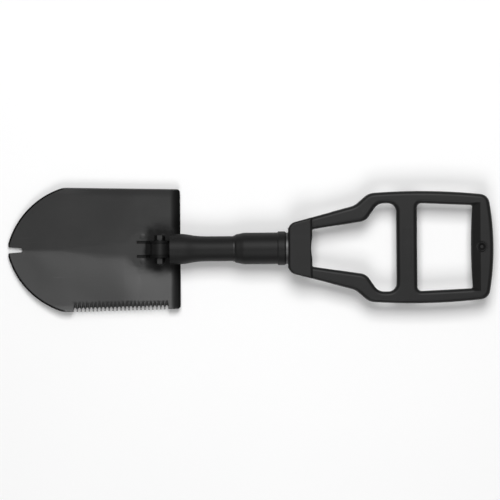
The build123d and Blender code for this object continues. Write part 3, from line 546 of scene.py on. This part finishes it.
FINISH_OF_SLOT = {
    "coated_blade": blade_coat,
    "coated_bracket": bracket_coat,
    "coated_tube": tube_coat,
    "dark_bolt": bolt_black,
    "forged_steel": forging_black,
    "rod_steel": rod_steel,
    "bright_steel": bright_turning,
    "bronze": bronze,
    "bush_nylon": natural_nylon,
    "black_collar": collar_coat,
    "grip_nylon": grip_nylon,
}
FINISH_OF_NODE = {"wiper_ring": bolt_black}
for part in record["subparts"]:
    finish = FINISH_OF_NODE.get(part["node"], FINISH_OF_SLOT[part["material_slot"]])
    mesh = nodes[part["node"]].data
    mesh.materials.clear()
    mesh.materials.append(finish.material)
print("finishes given to", len(record["subparts"]), "parts")

# %% [markdown]
# ## The blade, pressed smooth
#
# The CAD blade is a row of ruled strips, which is right for its size but leaves faint folds where
# two strips meet. A real blade is one sheet, pressed between soft curves. It could be rebuilt as a
# subdivision surface, but its notch, slots and saw teeth would need many support loops. It is
# simpler to copy the CAD mesh, cut it into a fine grid with straight planes, and relax the middle
# of the sheet. Points near the outline, the slots and the rivets stay put, so that everything that
# fits the blade still fits.


# %% Helpers for pieces
MERGE_DISTANCE = 0.001 * MM


def finished_piece(name, shape, body, finish, smooth_angle=35):
    """A bmesh made into an object that rides on a body."""
    mesh = bpy.data.meshes.new(name)
    shape.to_mesh(mesh)
    shape.free()
    if "custom_normal" in mesh.attributes:
        mesh.attributes.remove(mesh.attributes["custom_normal"])
    mesh.shade_smooth()
    mesh.set_sharp_from_angle(angle=math.radians(smooth_angle))
    mesh.materials.clear()
    mesh.materials.append(finish.material)
    piece = bpy.data.objects.new(name, mesh)
    bpy.context.scene.collection.objects.link(piece)
    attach(piece, body)
    print(name, len(mesh.vertices), "points")
    return piece


def copy_of_node(name):
    """A CAD node's mesh in a bmesh of its own, with its loose triangles joined up."""
    shape = bmesh.new()
    shape.from_mesh(nodes[name].data)
    bmesh.ops.remove_doubles(shape, verts=shape.verts, dist=MERGE_DISTANCE)
    return shape


def slice_across(shape, axis, places):
    """Cut every face along planes square to an axis."""
    for place in places:
        point = Vector((0, 0, 0))
        point[axis] = place
        normal = Vector((0, 0, 0))
        normal[axis] = 1
        everything = shape.verts[:] + shape.edges[:] + shape.faces[:]
        bmesh.ops.bisect_plane(shape, geom=everything, plane_co=point, plane_no=normal)


def steps_between(low, high, size):
    """Evenly spaced places between two limits, about a size apart."""
    count = math.floor((high - low) / size)
    return [low + (high - low) * (i + 0.5) / count for i in range(count)]


def tree_of(points):
    """A search tree that finds the nearest of many points."""
    tree = KDTree(len(points))
    for index, point in enumerate(points):
        tree.insert(point, index)
    tree.balance()
    return tree


# %% Relax the points of a sheet
GRID = 4 * MM  # between the cutting planes
RIM_KEPT = 8 * MM  # a point nearer than this to an edge of the sheet stays
RELAX_REACH = 11 * MM  # how far a point looks for neighbours
BRACKET_MARGIN = 2 * MM
MARK_SPACING = 2 * MM
EDGE_ANGLE = 50  # degrees between faces, past which an edge is the sheet's outline
SKIN_NORMAL = 0.8  # upright part of a normal, past which a point is on a skin
hinge_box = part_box("hinge_bracket")
relax_end_x = rear_x - TREAD_WIDTH


def edge_marks(shape, apart):
    """Points all along the edges where the sheet's thickness shows."""
    marks = []
    for edge in shape.edges:
        if edge.calc_face_angle(0) > math.radians(EDGE_ANGLE):
            start, end = (vert.co.copy() for vert in edge.verts)
            count = max(1, math.ceil(edge.calc_length() / apart))
            marks += [start.lerp(end, i / count) for i in range(count + 1)]
    return marks


def relaxed_height(place, neighbours):
    """The height at a place of the plane that fits its neighbours best, near ones most."""
    points = np.array(neighbours)
    offsets = points[:, :2] - np.array(place[:2])
    nearness = np.exp(-(offsets**2).sum(axis=1) / (0.5 * RELAX_REACH) ** 2)
    sides = np.column_stack([np.ones(len(points)), offsets]) * nearness[:, None]
    return float(np.linalg.lstsq(sides, points[:, 2] * nearness, rcond=None)[0][0])


def relax_sheet(shape):
    """Moves the free points of each skin, upper and lower, onto a smooth surface."""
    rim = tree_of(edge_marks(shape, MARK_SPACING))
    keep_x = hinge_box[0].x - BRACKET_MARGIN
    keep_y = hinge_box[1].y + BRACKET_MARGIN
    for facing in (-1, 1):
        skin = [v for v in shape.verts if v.normal.z * facing > SKIN_NORMAL]
        tree = tree_of([v.co for v in skin])
        places = [tuple(v.co) for v in skin]
        moved = []
        for vert in skin:
            x, y, _ = vert.co
            on_bracket = x > keep_x and abs(y) < keep_y
            if x < relax_end_x and not on_bracket and rim.find(vert.co)[2] > RIM_KEPT:
                near = [places[i] for _, i, _ in tree.find_range(vert.co, RELAX_REACH)]
                moved.append((vert, relaxed_height(vert.co, near)))
        for vert, height in moved:
            vert.co.z = height
        print("relaxed", len(moved), "of", len(skin), "points")


# %% Cut the sheet into a grid and relax it
sheet = copy_of_node("blade")
slice_across(sheet, 0, steps_between(tip_x, relax_end_x, GRID))
slice_across(sheet, 1, steps_between(blade_box[0].y, blade_box[1].y, GRID))
sheet.normal_update()
relax_sheet(sheet)
blade_sheet = finished_piece("blade_sheet", sheet, "blade", blade_coat)
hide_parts("blade")

# %% [markdown]
# ## Rivet heads, hammered down
#
# Four rivets hold the blade to its bracket. The CAD has them as low round heads. On a finished blade
# they are set almost flush and the coat runs over them, so they hardly show. New heads could be
# spun from a profile, but a copy of the CAD rivets already has the right places. Only its points
# above the blade's face are pressed down, so every foot and shank stays exactly as it was.

# %% Press the heads down
HEAD_HEIGHT = 0.8 * MM
PRESSED = 0.35  # the part of its height that a head keeps
rivets = copy_of_node("bracket_rivets")
face_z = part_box("bracket_rivets")[1].z - HEAD_HEIGHT
for vert in rivets.verts:
    if vert.co.z > face_z:
        vert.co.z = face_z + (vert.co.z - face_z) * PRESSED
rivet_heads = finished_piece("rivet_heads", rivets, "blade", blade_coat)
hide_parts("bracket_rivets")

# %% [markdown]
# ## The bolt's thread
#
# A bolt's thread shows on the short end that stands out beyond its nut. A helix could be cut for it,
# but at this size a ring looks the same and closes on itself. A V-shaped profile is spun about the
# bolt's axis, a little proud of the CAD shank, with its inner side sunk into it. There are as many
# rings as the end has room for, and on this bolt that is one.

# %% Thread rings on the hinge bolt
THREAD_PITCH = 0.9 * MM
THREAD_RISE = 0.28 * MM  # of the crest above the shank
SHANK_RADIUS = 4.0 * MM
BOLT_END_CHAMFER = 0.8 * MM  # no thread here
FIRST_TURN = 0.6  # pitches from the nut's face to the first crest
SPIN_STEPS = 48
PROFILE = [(-0.5, -0.3), (0, 1), (0.5, -0.3)]  # pitches along the bolt, rises out from the shank
bolt_end_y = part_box("hinge_bolt")[0].y
nut_end_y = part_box("hinge_nut")[0].y
pin = next(joint for joint in frame["joints"] if joint["name"] == "blade_fold")
pin_centre = Vector(pin["pos_m"])


def thread_ring(shape, middle_y):
    """One closed V-shaped ring about the bolt."""
    profile = []
    for across, out in PROFILE:
        place = Vector((0, middle_y + across * THREAD_PITCH, SHANK_RADIUS + out * THREAD_RISE))
        profile.append(shape.verts.new(place + Vector((pin_centre.x, 0, pin_centre.z))))
    edges = [shape.edges.new((profile[i], profile[(i + 1) % 3])) for i in range(3)]
    bmesh.ops.spin(
        shape,
        geom=profile + edges,
        cent=(pin_centre.x, middle_y, pin_centre.z),
        axis=(0, 1, 0),
        dvec=(0, 0, 0),
        angle=math.tau,
        steps=SPIN_STEPS,
        use_merge=True,
    )


threads = bmesh.new()
turn_count = int((nut_end_y - bolt_end_y - BOLT_END_CHAMFER) / THREAD_PITCH)
for turn in range(turn_count):
    thread_ring(threads, nut_end_y - (turn + FIRST_TURN) * THREAD_PITCH)
bmesh.ops.remove_doubles(threads, verts=threads.verts, dist=MERGE_DISTANCE)
bmesh.ops.recalc_face_normals(threads, faces=threads.faces)
finished_piece("bolt_thread", threads, "blade", bolt_black, 60)
print("thread rings:", turn_count)

# %% [markdown]
# ## The grip's parting line
#
# A moulded grip keeps a fine raised line where the two halves of its mould met, round its outside
# and its openings. It could be painted into the bump, but a real ridge catches the light at the
# side. A copy of the grip is cut at mid height, only the cut's outline behind the hub is kept, and
# each stretch of it is given a thin round section by a curve's bevel.

# %% Parting line round the grip
LINE_HEIGHT = 29.5 * MM
LINE_RADIUS = 0.22 * MM
LINE_START = 16 * MM  # behind the hub's bushes
line_start_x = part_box("hub_bushes")[1].x + LINE_START


def parting_outline():
    """The grip's outline at the line's height, as loose edges behind the hub."""
    outline = copy_of_node("handle_grip")
    everything = outline.verts[:] + outline.edges[:] + outline.faces[:]
    height = Vector((0, 0, LINE_HEIGHT))
    cut = bmesh.ops.bisect_plane(outline, geom=everything, plane_co=height, plane_no=(0, 0, 1))
    kept = {item for item in cut["geom_cut"] if isinstance(item, bmesh.types.BMEdge)}
    others = [edge for edge in outline.edges if edge not in kept]
    bmesh.ops.delete(outline, geom=others, context="EDGES_FACES")
    hidden = [vert for vert in outline.verts if vert.co.x < line_start_x]
    bmesh.ops.delete(outline, geom=hidden, context="VERTS")
    return outline


# %% Give the line its round section
outline = parting_outline()
outline_mesh = bpy.data.meshes.new("parting_outline")
outline.to_mesh(outline_mesh)
outline.free()
line = bpy.data.objects.new("parting_line", outline_mesh)
bpy.context.scene.collection.objects.link(line)
bpy.ops.object.select_all(action="DESELECT")
bpy.context.view_layer.objects.active = line
line.select_set(True)
bpy.ops.object.convert(target="CURVE")
line.data.bevel_depth = LINE_RADIUS
line.data.bevel_resolution = 1
line.data.use_fill_caps = True
bpy.ops.object.convert(target="MESH")
line.data.materials.clear()
line.data.materials.append(grip_nylon.material)
line.select_set(False)
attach(line, "grip")
print("parting line", len(line.data.vertices), "points")

# %% [markdown] ## The end
